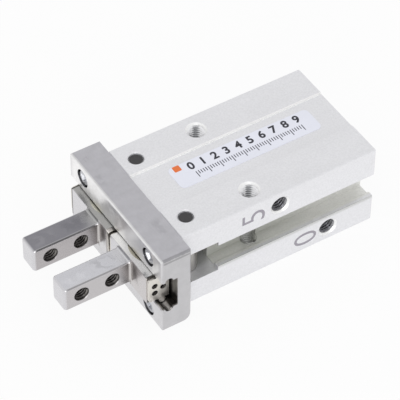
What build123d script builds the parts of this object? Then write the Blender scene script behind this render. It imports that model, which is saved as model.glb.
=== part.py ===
from build123d import *
import math
import os

# Pneumatic parallel gripper, 10 mm bore, double acting, fingers shown closed.
# Millimetres. Construction frame: the cylinder axis is X and the fingertips point
# to +X, the face where the body meets the finger guide is X = 0, the fingers
# slide along Y, and both air ports are on the +Y side. "left" is +Y, as seen by
# someone who looks along +X. The finished pieces are moved so that the origin is
# under the middle of the whole gripper, on the surface that it lies on.

# Extruded body: section
BODY_WIDTH = 23.0
BODY_THICK = 16.4
BODY_EDGE = 0.3
CHANNEL_HEIGHT = 6.4
CHANNEL_MOUTH = 5.0
CHANNEL_DEPTH = 3.5
LIP_THICK = 1.3
LIP_ROUND = 0.5
RECESS_WIDTH = 9.2
RECESS_DEPTH = 0.25
END_CHAMFER = 0.2

# Extruded body: stack of lengths from the guide to the rear end
LEVER_SLOT = 7.0
LEVER_SLOT_HEIGHT = 6.6
ROD_GUIDE = 6.0
GLAND_DEPTH = 4.5
FRONT_CHAMBER = 3.7
PISTON_LENGTH = 6.8
REAR_CHAMBER = 3.2
CAP_THICK = 4.2
RING_THICK = 0.8
RING_INSET = 1.6

# Cylinder
BORE_D = 10.0
ROD_D = 5.0
GLAND_D = 8.2
RING_GROOVE_DEPTH = 0.45
RUN_GAP = 0.05
FIT_GAP = 0.02
SEAL_WIDTH = 1.6
SEAL_DEPTH = 1.2
MAGNET_WIDTH = 2.4
MAGNET_DEPTH = 1.6
LAND_WIDTH = 0.9
ROD_SEAL_LENGTH = 1.9
HOLDER_LENGTH = 2.2
GASKET_WIDTH = 1.5
GASKET_DEPTH = 1.2
RING_WIDTH = 1.1
RING_OPENING_DEG = 60.0
RING_EYE_R = 0.9
RING_EYE_HOLE_R = 0.4
CAP_DIMPLE_D = 4.0
CAP_DIMPLE_DEPTH = 0.8

# Threaded holes, drawn at the major diameter
MOUNT_D = 3.0
MOUNT_MOUTH_D = 3.7
MOUNT_FROM_GUIDE = 15.0
MOUNT_PITCH = 16.2
PORT_D = 3.0
PORT_MOUTH_D = 3.7
PORT_DEPTH = 4.0
CLOSING_PORT_FROM_GUIDE = 18.9
OPENING_PORT_FROM_REAR = 9.0
AIRWAY_D = 1.2
JAW_THREAD_D = 2.5
JAW_MOUTH_D = 2.8

# Finger guide
GUIDE_WIDTH = 29.0
GUIDE_DEPTH = 5.6
GUIDE_BACK_WALL = 2.6
GUIDE_SLOT = 6.3
GUIDE_EDGE = 0.4
GUIDE_LOWER_EDGE = 0.6
GUIDE_HEEL_ROUND = 1.5
GUIDE_SIDE_CHAMFER = 0.3
LIP_EDGE = 0.15
RACEWAY_FROM_FRONT = 1.4
BALL_D = 1.5
BALL_GAP = 0.04
BALL_PITCH = 3.0
BALL_END_GAP = 0.15
BALLS_IN_ROW = 3

# Guide screws
SCREW_EDGE_Y = 1.2
SCREW_OFF_MIDDLE = 0.17
SCREW_SHANK_D = 1.6
SCREW_HEAD_D = 3.0
SCREW_HEAD_THICK = 1.2
SCREW_SUNK = 0.2
SCREW_HEAD_BEVEL = 0.25
SCREW_GRIP = 5.0
SCREW_HOLE_SPARE = 0.5
COUNTERBORE_GAP = 0.15
SCREW_CLEARANCE = 0.2
CROSS_LENGTH = 1.7
CROSS_WIDTH = 0.35
CROSS_DEPTH = 0.6

# Fingers
SLIDE_GAP = 0.2
FINGER_PROUD = 1.3
FINGER_TRAVEL = 2.0
CENTRE_GAP = 0.5
BASE_LENGTH = 12.1
STOPPER_THICK = 0.5
STOPPER_INSET = 0.15
STOPPER_DROP = 0.4
STOPPER_CORNER = 0.5
STOPPER_LOBE_R = 0.6
STOPPER_HOLE_D = 1.1
STOPPER_HOLE_X = 1.3
STOPPER_HOLE_STEP = 1.55
STOPPER_HOLE_Z = 0.8
STOPPER_HOLE_DEPTH = 1.8
ARM_GAP = 6.0
ARM_WIDTH = 4.0
ARM_HEIGHT = 4.8
ARM_LENGTH = 12.3
ARM_EDGE = 0.35
ARM_TIP_ROUND = 0.6
ARM_ROOT = 0.4
TIP_TO_HOLE = 3.2
JAW_PITCH = 5.7
RELIEF_R = 4.0
RELIEF_FROM_FRONT = 0.75
RELIEF_DEPTH = 0.12

# Lever linkage
PIVOT_FROM_GUIDE = 3.1
PIVOT_Y = 7.7
SHAFT_D = 2.6
SHAFT_RECESS = 0.3
SHAFT_CHAMFER = 0.2
SHAFT_MOUTH_D = 3.0
BOSS_R = 1.9
BOSS_GAP = 0.1
LEVER_THICK = 3.0
TIP_INSET = 0.15
TIP_Y_CLOSED = 6.1
TIP_R = 1.5
TIP_ARM_WIDTH = 2.2
ROD_KNOB_Y = 2.0
ROD_KNOB_R = 1.0
ROD_ARM_WIDTH = 1.5
KNOB_GAP = 0.05
KNOB_END_GAP = 0.25
KNOB_SIDE_GAP = 0.1
WINDOW_GAP = 0.35
ROD_NOSE = 0.8

# Label
LABEL_LENGTH = 27.4
LABEL_WIDTH = 5.1
LABEL_THICK = 0.08
LABEL_CORNER = 0.9
LABEL_FROM_GUIDE = 6.0
LABEL_OFFSET_Y = -0.35

# Places worked out from the sizes above
BODY_LENGTH = (LEVER_SLOT + ROD_GUIDE + GLAND_DEPTH + FRONT_CHAMBER + PISTON_LENGTH
               + REAR_CHAMBER + CAP_THICK + RING_THICK + RING_INSET)
SHOULDER_X = -(LEVER_SLOT + ROD_GUIDE + GLAND_DEPTH)
PISTON_FRONT_X = SHOULDER_X - FRONT_CHAMBER
PISTON_REAR_X = PISTON_FRONT_X - PISTON_LENGTH
CAP_FRONT_X = PISTON_REAR_X - REAR_CHAMBER
CAP_REAR_X = CAP_FRONT_X - CAP_THICK
RING_REAR_X = CAP_REAR_X - RING_THICK
FLANGE_MID_Z = (BODY_THICK + CHANNEL_MOUTH) / 4
RACEWAY_X = GUIDE_DEPTH - RACEWAY_FROM_FRONT
RACEWAY_Z = GUIDE_SLOT / 2 - SLIDE_GAP / 2
RACEWAY_R = BALL_D / 2 + BALL_GAP
SCREW_Y = BODY_WIDTH / 2 - SCREW_EDGE_Y
SCREW_Z = (RACEWAY_Z + RACEWAY_R + BODY_THICK / 2) / 2 - SCREW_OFF_MIDDLE
BASE_REAR_X = GUIDE_BACK_WALL + SLIDE_GAP
BASE_FRONT_X = GUIDE_DEPTH + FINGER_PROUD
BASE_TOP_Z = GUIDE_SLOT / 2 - SLIDE_GAP
BASE_INNER_Y = CENTRE_GAP / 2
BASE_OUTER_Y = BASE_INNER_Y + BASE_LENGTH
TIP_FRONT_X = BASE_FRONT_X + ARM_LENGTH
RELIEF_X = BASE_FRONT_X - RELIEF_FROM_FRONT - RELIEF_R
ARM_INNER_Y = ARM_GAP / 2
ARM_OUTER_Y = ARM_INNER_Y + ARM_WIDTH

# Linkage: the lever turns from its closed to its open angle as the finger travels
PIVOT_X = -PIVOT_FROM_GUIDE
TIP_X = BASE_REAR_X + TIP_INSET
TIP_ARM = math.hypot(TIP_X - PIVOT_X, TIP_Y_CLOSED - PIVOT_Y)
CLOSED_ANGLE = math.asin((TIP_Y_CLOSED - PIVOT_Y) / TIP_ARM)
OPEN_ANGLE = math.asin((TIP_Y_CLOSED + FINGER_TRAVEL - PIVOT_Y) / TIP_ARM)
SWING = OPEN_ANGLE - CLOSED_ANGLE
ROD_ARM = PIVOT_Y - ROD_KNOB_Y
ROD_KNOB_X = PIVOT_X - ROD_ARM * math.sin(SWING / 2)
ROD_KNOB_CLOSED_Y = PIVOT_Y - ROD_ARM * math.cos(SWING / 2)
NOTCH_FLOOR_Y = ROD_KNOB_Y - ROD_KNOB_R - KNOB_SIDE_GAP
ROD_FRONT_X = ROD_KNOB_X + ROD_KNOB_R + KNOB_GAP + ROD_NOSE
MOST_TIP_X = PIVOT_X + TIP_ARM + TIP_R

# How near an edge or corner lies to the place by which it is picked
NEARBY = 0.05

# From the construction frame to the finished frame
TO_ORIGIN = Pos((BODY_LENGTH - TIP_FRONT_X) / 2, 0, BODY_THICK / 2)


def span(x, y, z):
    """Box between two limits on each axis."""
    middle = [(low + high) / 2 for low, high in (x, y, z)]
    return Pos(*middle) * Box(x[1] - x[0], y[1] - y[0], z[1] - z[0])


def turned(points):
    """Solid of revolution about X from (x, radius) corners, closed along the axis."""
    outline = Polyline(*[(x, r, 0) for x, r in points], close=True)
    return revolve(make_face(outline), Axis.X)


def tube(x, outer_r, inner_r):
    """Ring on the cylinder axis between two places on X."""
    return turned([(x[0], inner_r), (x[0], outer_r), (x[1], outer_r), (x[1], inner_r)])


def hole(diameter, mouth_diameter, depth):
    """Cutter for a countersunk hole that enters the XY plane from above."""
    sink = (mouth_diameter - diameter) / 2
    drill = Pos(0, 0, -depth / 2) * Cylinder(diameter / 2, depth)
    return drill + Pos(0, 0, -sink / 2) * Cone(diameter / 2, mouth_diameter / 2, sink)


def through_hole(diameter, mouth_diameter, length):
    """Cutter for a hole countersunk at both ends, centred on the origin along Z."""
    half = Pos(0, 0, length / 2) * hole(diameter, mouth_diameter, length / 2)
    return half + mirror(half, about=Plane.XY)


def rod_between(start, end, diameter):
    """Round bar between two points."""
    run = Vector(*end) - Vector(*start)
    plane = Plane(origin=start, z_dir=run)
    return plane * Pos(0, 0, run.length / 2) * Cylinder(diameter / 2, run.length)


def other_side(piece):
    """The same piece for the right side."""
    return mirror(piece, about=Plane.XZ)


def body_section():
    """Section of the extrusion: two flanges, a switch channel on each side, a shallow recess."""
    half = BODY_WIDTH / 2
    section = RectangleRounded(BODY_WIDTH, BODY_THICK, BODY_EDGE)
    inner_end = half - LIP_THICK
    inner_middle = (half - CHANNEL_DEPTH + inner_end) / 2
    inner = Pos(inner_middle, 0) * Rectangle(CHANNEL_DEPTH - LIP_THICK, CHANNEL_HEIGHT)
    mouth = Pos(half, 0) * Rectangle(2 * CHANNEL_DEPTH, CHANNEL_MOUTH)
    channel = inner + mouth
    lip_corners = [v for v in channel.vertices() if abs(v.X - inner_end) < NEARBY
                   and abs(abs(v.Y) - CHANNEL_MOUTH / 2) < NEARBY]
    channel = fillet(lip_corners, LIP_ROUND)
    section -= channel
    section -= mirror(channel, about=Plane.YZ)
    recess = Rectangle(RECESS_WIDTH, 2 * RECESS_DEPTH)
    section -= Pos(0, BODY_THICK / 2) * recess
    section -= Pos(0, -BODY_THICK / 2) * recess
    return section


def flange_rims(end_face):
    """Outside edges of both flanges on an end face, without the recesses and channels."""
    top = BODY_THICK / 2 - BODY_EDGE
    side = BODY_WIDTH / 2 - BODY_EDGE
    return [e for e in end_face.outer_wire().edges()
            if abs(e.center().Z) > top and abs(e.center().Y) > RECESS_WIDTH / 2
            or abs(e.center().Y) > side and abs(e.center().Z) > CHANNEL_MOUTH / 2]


def stepped_bore():
    """Cylinder bore, clip groove, gland and rod guide, opened from the rear end."""
    bore_r = BORE_D / 2
    guide_r = ROD_D / 2 + RUN_GAP
    past_slot = -LEVER_SLOT + RUN_GAP
    groove_r = bore_r + RING_GROOVE_DEPTH
    return turned([
        (-BODY_LENGTH - RING_INSET, 0), (-BODY_LENGTH - RING_INSET, bore_r),
        (RING_REAR_X, bore_r), (RING_REAR_X, groove_r),
        (CAP_REAR_X, groove_r), (CAP_REAR_X, bore_r),
        (SHOULDER_X, bore_r), (SHOULDER_X, GLAND_D / 2),
        (SHOULDER_X + GLAND_DEPTH, GLAND_D / 2), (SHOULDER_X + GLAND_DEPTH, guide_r),
        (past_slot, guide_r), (past_slot, 0)])


def air_port(x, z):
    """Threaded port in a flange, with its airway down to the bore."""
    side = BODY_WIDTH / 2
    port = Plane(origin=(x, side, z), z_dir=(0, 1, 0)) * hole(PORT_D, PORT_MOUTH_D, PORT_DEPTH)
    bottom = (x, side - PORT_DEPTH, z)
    inside = (x, BORE_D / 2 * math.cos(math.pi / 4), math.copysign(BORE_D / 4, z))
    return port + rod_between(bottom, inside, AIRWAY_D)


def make_body():
    """Extruded and machined aluminium body."""
    rear = Plane.YZ.offset(-BODY_LENGTH)
    body = extrude(rear * body_section(), BODY_LENGTH)
    body = chamfer(body.faces().sort_by(Axis.X)[0].outer_wire().edges(), END_CHAMFER)
    body = chamfer(flange_rims(body.faces().sort_by(Axis.X)[-1]), END_CHAMFER)
    slot = (-LEVER_SLOT, LEVER_SLOT)
    half_slot = LEVER_SLOT_HEIGHT / 2
    body -= span(slot, (-BODY_WIDTH, BODY_WIDTH), (-half_slot, half_slot))
    body -= stepped_bore()
    body -= air_port(-CLOSING_PORT_FROM_GUIDE, FLANGE_MID_Z)
    body -= air_port(-BODY_LENGTH + OPENING_PORT_FROM_REAR, -FLANGE_MID_Z)
    mount = through_hole(MOUNT_D, MOUNT_MOUTH_D, BODY_THICK)
    shaft_hole = through_hole(SHAFT_D + 2 * FIT_GAP, SHAFT_MOUTH_D, BODY_THICK)
    screw_hole = Cylinder(SCREW_SHANK_D / 2 + FIT_GAP, 2 * (SCREW_GRIP + SCREW_HOLE_SPARE))
    for side in (1, -1):
        body -= Pos(-MOUNT_FROM_GUIDE, side * MOUNT_PITCH / 2, 0) * mount
        body -= Pos(PIVOT_X, side * PIVOT_Y, 0) * shaft_hole
        for level in (1, -1):
            place = Plane(origin=(0, side * SCREW_Y, level * SCREW_Z), z_dir=(1, 0, 0))
            body -= place * screw_hole
    return body


def guide_block():
    """Outside of the guide, with its lower back edge rounded and its side rims chamfered."""
    section = Pos(GUIDE_DEPTH / 2, 0) * Rectangle(GUIDE_DEPTH, BODY_THICK)
    heel = section.vertices().sort_by(Axis.X)[:2].sort_by(Axis.Y)[0]
    section = fillet(heel, GUIDE_HEEL_ROUND)
    block = extrude(Plane.XZ * section, GUIDE_WIDTH / 2, both=True)
    rims = block.faces().sort_by(Axis.Y)[0].edges() + block.faces().sort_by(Axis.Y)[-1].edges()
    block = chamfer(rims, GUIDE_SIDE_CHAMFER)
    front_edges = block.faces().sort_by(Axis.X)[-1].edges().filter_by(Axis.Y).sort_by(Axis.Z)
    block = fillet(front_edges[-1], GUIDE_EDGE)
    front_edges = block.faces().sort_by(Axis.X)[-1].edges().filter_by(Axis.Y).sort_by(Axis.Z)
    return fillet(front_edges[0], GUIDE_LOWER_EDGE)


def guide_slot():
    """Slot open to the front, with a raceway in each lip, as a cutter."""
    depth = GUIDE_DEPTH - GUIDE_BACK_WALL
    section = Pos(GUIDE_DEPTH, 0) * Rectangle(2 * depth, GUIDE_SLOT)
    for level in (1, -1):
        section += Pos(RACEWAY_X, level * RACEWAY_Z) * Circle(RACEWAY_R)
    bevel = Polyline((GUIDE_DEPTH - LIP_EDGE, 0), (GUIDE_DEPTH - LIP_EDGE, GUIDE_SLOT / 2),
                     (GUIDE_DEPTH + LIP_EDGE, GUIDE_SLOT / 2 + 2 * LIP_EDGE), (GUIDE_DEPTH + LIP_EDGE, 0),
                     close=True)
    section += make_face(bevel)
    section += mirror(make_face(bevel), about=Plane.XZ)
    return extrude(Plane.XZ * section, GUIDE_WIDTH, both=True)


def lever_window():
    """Opening in the back wall of the guide that the left lever swings through."""
    low = TIP_Y_CLOSED - TIP_R - WINDOW_GAP
    high = TIP_Y_CLOSED + FINGER_TRAVEL + TIP_R + WINDOW_GAP
    half = LEVER_THICK / 2 + WINDOW_GAP
    return span((-GUIDE_BACK_WALL, BASE_REAR_X), (low, high), (-half, half))


def make_guide():
    """Hardened guide that both fingers slide in, held to the body by four screws."""
    guide = guide_block() - guide_slot()
    window = lever_window()
    guide -= window
    guide -= other_side(window)
    bore = Cylinder(SCREW_SHANK_D / 2 + SCREW_CLEARANCE, 2 * GUIDE_DEPTH)
    sink = SCREW_SUNK + SCREW_HEAD_THICK
    counterbore = Cylinder(SCREW_HEAD_D / 2 + COUNTERBORE_GAP, 2 * sink)
    for side in (1, -1):
        for level in (1, -1):
            place = Plane(origin=(GUIDE_DEPTH, side * SCREW_Y, level * SCREW_Z), z_dir=(1, 0, 0))
            guide -= place * bore
            guide -= place * counterbore
    return guide


def guide_screw():
    """Cross-recessed screw along Z, with the top of its head in the XY plane."""
    head = Pos(0, 0, -SCREW_HEAD_THICK / 2) * Cylinder(SCREW_HEAD_D / 2, SCREW_HEAD_THICK)
    head = chamfer(head.edges().sort_by(Axis.Z)[-1], SCREW_HEAD_BEVEL)
    reach = GUIDE_DEPTH - SCREW_SUNK + SCREW_GRIP
    screw = head + Pos(0, 0, -reach / 2) * Cylinder(SCREW_SHANK_D / 2, reach)
    for turn in (0, 90):
        screw -= Rot(0, 0, turn) * Box(CROSS_LENGTH, CROSS_WIDTH, 2 * CROSS_DEPTH)
    return screw


def make_guide_screws():
    """The four screws of the guide, as separate solids."""
    screw = guide_screw()
    screws = []
    for side in (1, -1):
        for level in (1, -1):
            seat = (GUIDE_DEPTH - SCREW_SUNK, side * SCREW_Y, level * SCREW_Z)
            screws.append(Plane(origin=seat, x_dir=(0, 1, 0), z_dir=(1, 0, 0)) * screw)
    return Compound(screws)


def stopper_holes(length):
    """Cutter for the three holes of a stopper, centred on Y = 0."""
    drill = Rot(90, 0, 0) * Cylinder(STOPPER_HOLE_D / 2, length)
    front_x = BASE_FRONT_X - STOPPER_HOLE_X
    holes = Pos(front_x - STOPPER_HOLE_STEP, 0, 0) * drill
    for level in (1, -1):
        holes += Pos(front_x, 0, level * STOPPER_HOLE_Z) * drill
    return holes


def finger_base():
    """Block that slides in the guide, with blind holes behind those of its two stoppers."""
    y = (BASE_INNER_Y + STOPPER_THICK, BASE_OUTER_Y - STOPPER_THICK)
    base = span((BASE_REAR_X, BASE_FRONT_X), y, (-BASE_TOP_Z, BASE_TOP_Z))
    for end in y:
        base -= Pos(0, end, 0) * stopper_holes(2 * STOPPER_HOLE_DEPTH)
    return base


def finger_arm():
    """Bar that carries the jaw, with softened edges at its free end."""
    half = ARM_HEIGHT / 2
    arm = span((BASE_FRONT_X - FINGER_PROUD, TIP_FRONT_X), (ARM_INNER_Y, ARM_OUTER_Y), (-half, half))
    tip_uprights = arm.faces().sort_by(Axis.X)[-1].edges().filter_by(Axis.Z)
    arm = fillet(tip_uprights, ARM_TIP_ROUND)
    rims = [e for e in arm.edges() if abs(abs(e.center().Z) - half) < NEARBY
            and e.center().X > BASE_FRONT_X - FINGER_PROUD + NEARBY]
    return fillet(rims, ARM_EDGE)


def tip_socket():
    """Slot in the back of the finger for the round tip of the lever."""
    half_width = TIP_R + KNOB_GAP
    half_height = LEVER_THICK / 2 + KNOB_SIDE_GAP
    end = MOST_TIP_X + KNOB_END_GAP
    y = (TIP_Y_CLOSED - half_width, TIP_Y_CLOSED + half_width)
    slot = span((0, end), y, (-half_height, half_height))
    inner_edges = slot.faces().sort_by(Axis.X)[-1].edges().filter_by(Axis.Z)
    return fillet(inner_edges, half_width - KNOB_GAP)


def make_finger():
    """Left finger: sliding base and arm in one piece."""
    finger = finger_base() + finger_arm()
    root_edges = [e for e in finger.edges().filter_by(Axis.Z)
                  if abs(e.center().X - BASE_FRONT_X) < NEARBY
                  and ARM_INNER_Y - NEARBY < e.center().Y < ARM_OUTER_Y + NEARBY]
    finger = fillet(root_edges, ARM_ROOT)
    finger -= tip_socket()
    raceway = Rot(90, 0, 0) * Cylinder(RACEWAY_R, 4 * BASE_LENGTH)
    relief = Cylinder(RELIEF_R, 2 * RELIEF_DEPTH)
    for level in (1, -1):
        finger -= Pos(RACEWAY_X, 0, level * RACEWAY_Z) * raceway
        finger -= Pos(RELIEF_X, TIP_Y_CLOSED, level * BASE_TOP_Z) * relief
    jaw_hole = Rot(90, 0, 0) * through_hole(JAW_THREAD_D, JAW_MOUTH_D, ARM_WIDTH)
    mid_y = (ARM_INNER_Y + ARM_OUTER_Y) / 2
    for index in range(2):
        finger -= Pos(TIP_FRONT_X - TIP_TO_HOLE - index * JAW_PITCH, mid_y, 0) * jaw_hole
    return finger


def make_stopper(inner_y):
    """End plate of the left finger's base, with two lobes that keep the balls in."""
    x = (BASE_REAR_X + STOPPER_INSET, BASE_FRONT_X - STOPPER_INSET)
    half = BASE_TOP_Z - STOPPER_DROP
    plate = span(x, (inner_y, inner_y + STOPPER_THICK), (-half, half))
    front_edges = plate.faces().sort_by(Axis.X)[-1].edges().filter_by(Axis.Y)
    plate = fillet(front_edges, STOPPER_CORNER)
    lobe = Rot(90, 0, 0) * Cylinder(STOPPER_LOBE_R, STOPPER_THICK)
    for level in (1, -1):
        plate += Pos(RACEWAY_X, inner_y + STOPPER_THICK / 2, level * RACEWAY_Z) * lobe
    return plate - stopper_holes(4 * BASE_LENGTH)


def make_balls():
    """Balls of the left finger, one row above and one below, as separate solids."""
    outer_y = BASE_OUTER_Y - STOPPER_THICK - BALL_END_GAP - BALL_D / 2
    balls = []
    for level in (1, -1):
        for index in range(BALLS_IN_ROW):
            place = Pos(RACEWAY_X, outer_y - index * BALL_PITCH, level * RACEWAY_Z)
            balls.append(place * Sphere(BALL_D / 2))
    return Compound(balls)


def mirrored_group(group):
    """Separate solids of a group, for the right side."""
    return Compound([other_side(solid) for solid in group.solids()])


def lever_arm(end, knob_r, width, thick):
    """Arm from the left pivot to a round knob."""
    run_x = end[0] - PIVOT_X
    run_y = end[1] - PIVOT_Y
    angle = math.degrees(math.atan2(run_y, run_x))
    length = math.hypot(run_x, run_y)
    strip = Pos(PIVOT_X, PIVOT_Y) * Rot(0, 0, angle) * Pos(length / 2, 0) * Rectangle(length, width)
    knob = Pos(*end) * Circle(knob_r)
    return extrude(strip, thick / 2, both=True) + extrude(knob, thick / 2, both=True)


def make_lever():
    """Left bell crank: tall boss, front arm to the finger and inner arm to the rod."""
    boss_height = LEVER_SLOT_HEIGHT - 2 * BOSS_GAP
    lever = Pos(PIVOT_X, PIVOT_Y, 0) * Cylinder(BOSS_R, boss_height)
    lever += lever_arm((TIP_X, TIP_Y_CLOSED), TIP_R, TIP_ARM_WIDTH, LEVER_THICK)
    lever += lever_arm((ROD_KNOB_X, ROD_KNOB_CLOSED_Y), ROD_KNOB_R, ROD_ARM_WIDTH, LEVER_THICK)
    return lever - Pos(PIVOT_X, PIVOT_Y, 0) * Cylinder(SHAFT_D / 2 + RUN_GAP, 2 * boss_height)


def make_shaft():
    """Left lever shaft, set in both flanges and ending just below the faces."""
    shaft = Cylinder(SHAFT_D / 2, BODY_THICK - 2 * SHAFT_RECESS)
    return Pos(PIVOT_X, PIVOT_Y, 0) * chamfer(shaft.edges().filter_by(GeomType.CIRCLE), SHAFT_CHAMFER)


def make_piston_rod():
    """Turned piston and rod in one piece, with grooves for seal and magnet and a notched head."""
    piston_r = BORE_D / 2 - RUN_GAP
    seal_front = PISTON_FRONT_X - LAND_WIDTH
    seal_rear = seal_front - SEAL_WIDTH
    magnet_rear = PISTON_REAR_X + LAND_WIDTH
    magnet_front = magnet_rear + MAGNET_WIDTH
    seal_r = piston_r - SEAL_DEPTH
    magnet_r = piston_r - MAGNET_DEPTH
    rod = turned([
        (PISTON_REAR_X, 0), (PISTON_REAR_X, piston_r),
        (magnet_rear, piston_r), (magnet_rear, magnet_r),
        (magnet_front, magnet_r), (magnet_front, piston_r),
        (seal_rear, piston_r), (seal_rear, seal_r),
        (seal_front, seal_r), (seal_front, piston_r),
        (PISTON_FRONT_X, piston_r), (PISTON_FRONT_X, ROD_D / 2),
        (ROD_FRONT_X, ROD_D / 2), (ROD_FRONT_X, 0)])
    half_notch = ROD_KNOB_R + KNOB_GAP
    notch_x = (ROD_KNOB_X - half_notch, ROD_KNOB_X + half_notch)
    notch = span(notch_x, (NOTCH_FLOOR_Y, ROD_D), (-ROD_D, ROD_D))
    return rod - notch - other_side(notch)


def make_piston_seal():
    """Rubber seal in the front groove of the piston."""
    seal_front = PISTON_FRONT_X - LAND_WIDTH - FIT_GAP
    seal_rear = PISTON_FRONT_X - LAND_WIDTH - SEAL_WIDTH + FIT_GAP
    inner_r = BORE_D / 2 - RUN_GAP - SEAL_DEPTH + FIT_GAP
    return tube((seal_rear, seal_front), BORE_D / 2 - FIT_GAP, inner_r)


def make_magnet():
    """Rubber magnet in the rear groove of the piston, for the position switches."""
    rear = PISTON_REAR_X + LAND_WIDTH + FIT_GAP
    front = PISTON_REAR_X + LAND_WIDTH + MAGNET_WIDTH - FIT_GAP
    piston_r = BORE_D / 2 - RUN_GAP
    return tube((rear, front), piston_r - 2 * RUN_GAP, piston_r - MAGNET_DEPTH + FIT_GAP)


def make_rod_seal():
    """Rod seal at the bottom of the gland."""
    front = SHOULDER_X + GLAND_DEPTH - FIT_GAP
    return tube((front - ROD_SEAL_LENGTH, front), GLAND_D / 2 - FIT_GAP, ROD_D / 2 + RUN_GAP)


def make_seal_holder():
    """Bush that holds the rod seal in its gland."""
    front = SHOULDER_X + GLAND_DEPTH - ROD_SEAL_LENGTH - 2 * FIT_GAP
    return tube((front - HOLDER_LENGTH, front), GLAND_D / 2 - FIT_GAP, ROD_D / 2 + RUN_GAP)


def gasket_span():
    """Front and rear of the groove for the gasket, in the middle of the cap."""
    middle = CAP_FRONT_X - CAP_THICK / 2
    return middle - GASKET_WIDTH / 2, middle + GASKET_WIDTH / 2


def make_rear_cap():
    """Resin cap that closes the bore, with a groove for its gasket."""
    outer_r = BORE_D / 2 - FIT_GAP
    groove_r = outer_r - GASKET_DEPTH
    rear, front = gasket_span()
    dimple_x = CAP_REAR_X + CAP_DIMPLE_DEPTH
    return turned([
        (dimple_x, 0), (dimple_x, CAP_DIMPLE_D / 2),
        (CAP_REAR_X, CAP_DIMPLE_D / 2), (CAP_REAR_X, outer_r),
        (rear, outer_r), (rear, groove_r), (front, groove_r), (front, outer_r),
        (CAP_FRONT_X, outer_r), (CAP_FRONT_X, 0)])


def make_cap_gasket():
    """Rubber gasket round the cap."""
    rear, front = gasket_span()
    outer_r = BORE_D / 2 - FIT_GAP
    return tube((rear + FIT_GAP, front - FIT_GAP), outer_r, outer_r - GASKET_DEPTH + FIT_GAP)


def make_retaining_ring():
    """Internal retaining ring behind the cap, open at the bottom, with two eyes."""
    outer_r = BORE_D / 2 + RING_GROOVE_DEPTH - FIT_GAP
    rear = RING_REAR_X + FIT_GAP
    front = CAP_REAR_X - FIT_GAP
    ring = tube((rear, front), outer_r, outer_r - RING_WIDTH)
    half_angle = math.radians(RING_OPENING_DEG / 2)
    reach = 2 * outer_r
    wedge_face = make_face(Polyline((0, 0), (-reach * math.tan(half_angle), -reach),
                                    (reach * math.tan(half_angle), -reach), close=True))
    ring -= extrude(Plane.YZ.offset(rear - FIT_GAP) * wedge_face, RING_THICK)
    eye_y = (outer_r - RING_EYE_R) * math.sin(half_angle)
    eye_z = -(outer_r - RING_EYE_R) * math.cos(half_angle)
    for side in (1, -1):
        place = Plane.YZ.offset(rear) * Pos(side * eye_y, eye_z)
        ring += extrude(place * Circle(RING_EYE_R), front - rear)
    for side in (1, -1):
        place = Plane.YZ.offset(rear) * Pos(side * eye_y, eye_z)
        ring -= extrude(place * Circle(RING_EYE_HOLE_R), front - rear)
    return ring


def make_label():
    """Blank adhesive label in the recess of the top face."""
    floor = BODY_THICK / 2 - RECESS_DEPTH
    place = Pos(-LABEL_FROM_GUIDE - LABEL_LENGTH / 2, LABEL_OFFSET_Y, floor)
    return extrude(place * RectangleRounded(LABEL_LENGTH, LABEL_WIDTH, LABEL_CORNER), LABEL_THICK)


def build_parts():
    """Every piece of the gripper by the name of its node."""
    finger = make_finger()
    lever = make_lever()
    shaft = make_shaft()
    balls = make_balls()
    inner_stopper = make_stopper(BASE_INNER_Y)
    outer_stopper = make_stopper(BASE_OUTER_Y - STOPPER_THICK)
    return {
        "body": make_body(),
        "finger_guide": make_guide(),
        "guide_screws": make_guide_screws(),
        "finger_left": finger,
        "finger_right": other_side(finger),
        "inner_stopper_left": inner_stopper,
        "inner_stopper_right": other_side(inner_stopper),
        "outer_stopper_left": outer_stopper,
        "outer_stopper_right": other_side(outer_stopper),
        "balls_left": balls,
        "balls_right": mirrored_group(balls),
        "lever_left": lever,
        "lever_right": other_side(lever),
        "lever_shaft_left": shaft,
        "lever_shaft_right": other_side(shaft),
        "piston_rod": make_piston_rod(),
        "piston_seal": make_piston_seal(),
        "piston_magnet": make_magnet(),
        "rod_seal": make_rod_seal(),
        "rod_seal_holder": make_seal_holder(),
        "rear_cap": make_rear_cap(),
        "cap_gasket": make_cap_gasket(),
        "retaining_ring": make_retaining_ring(),
        "label": make_label(),
    }


def main():
    """Write one STEP file for each node."""
    os.makedirs("parts", exist_ok=True)
    for name, piece in build_parts().items():
        export_step(TO_ORIGIN * piece, os.path.join("parts", name + ".step"))


main()
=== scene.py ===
"""Looks of a pneumatic parallel gripper: aluminium body, steel finger guide and two steel fingers.

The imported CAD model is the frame. Its nodes keep their shapes and get their finishes here.
Threads, screw heads, marks and the print on the label are modelled here and ride on their bodies.
Sizes in the classes are millimetres in the frame's own axes, with the fingertips towards +X.
"""

import logging
import math
from collections.abc import Callable, Iterator
from contextlib import contextmanager
from dataclasses import dataclass, replace
from enum import Enum

import bmesh
import bpy
from mathutils import Matrix, Vector


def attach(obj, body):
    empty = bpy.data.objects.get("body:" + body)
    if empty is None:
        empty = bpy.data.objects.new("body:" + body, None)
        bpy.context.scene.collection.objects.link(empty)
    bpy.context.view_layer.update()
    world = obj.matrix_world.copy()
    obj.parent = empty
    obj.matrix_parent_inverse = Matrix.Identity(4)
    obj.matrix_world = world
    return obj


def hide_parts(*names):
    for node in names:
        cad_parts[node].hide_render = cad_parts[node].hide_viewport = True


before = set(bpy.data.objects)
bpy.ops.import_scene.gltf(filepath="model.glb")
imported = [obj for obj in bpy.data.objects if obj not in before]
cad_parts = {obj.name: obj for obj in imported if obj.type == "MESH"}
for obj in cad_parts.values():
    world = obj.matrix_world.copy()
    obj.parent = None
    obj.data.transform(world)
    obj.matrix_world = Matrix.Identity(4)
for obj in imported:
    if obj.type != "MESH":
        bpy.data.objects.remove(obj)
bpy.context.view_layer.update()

LOG = logging.getLogger("gripper")
MM = 0.001

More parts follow.
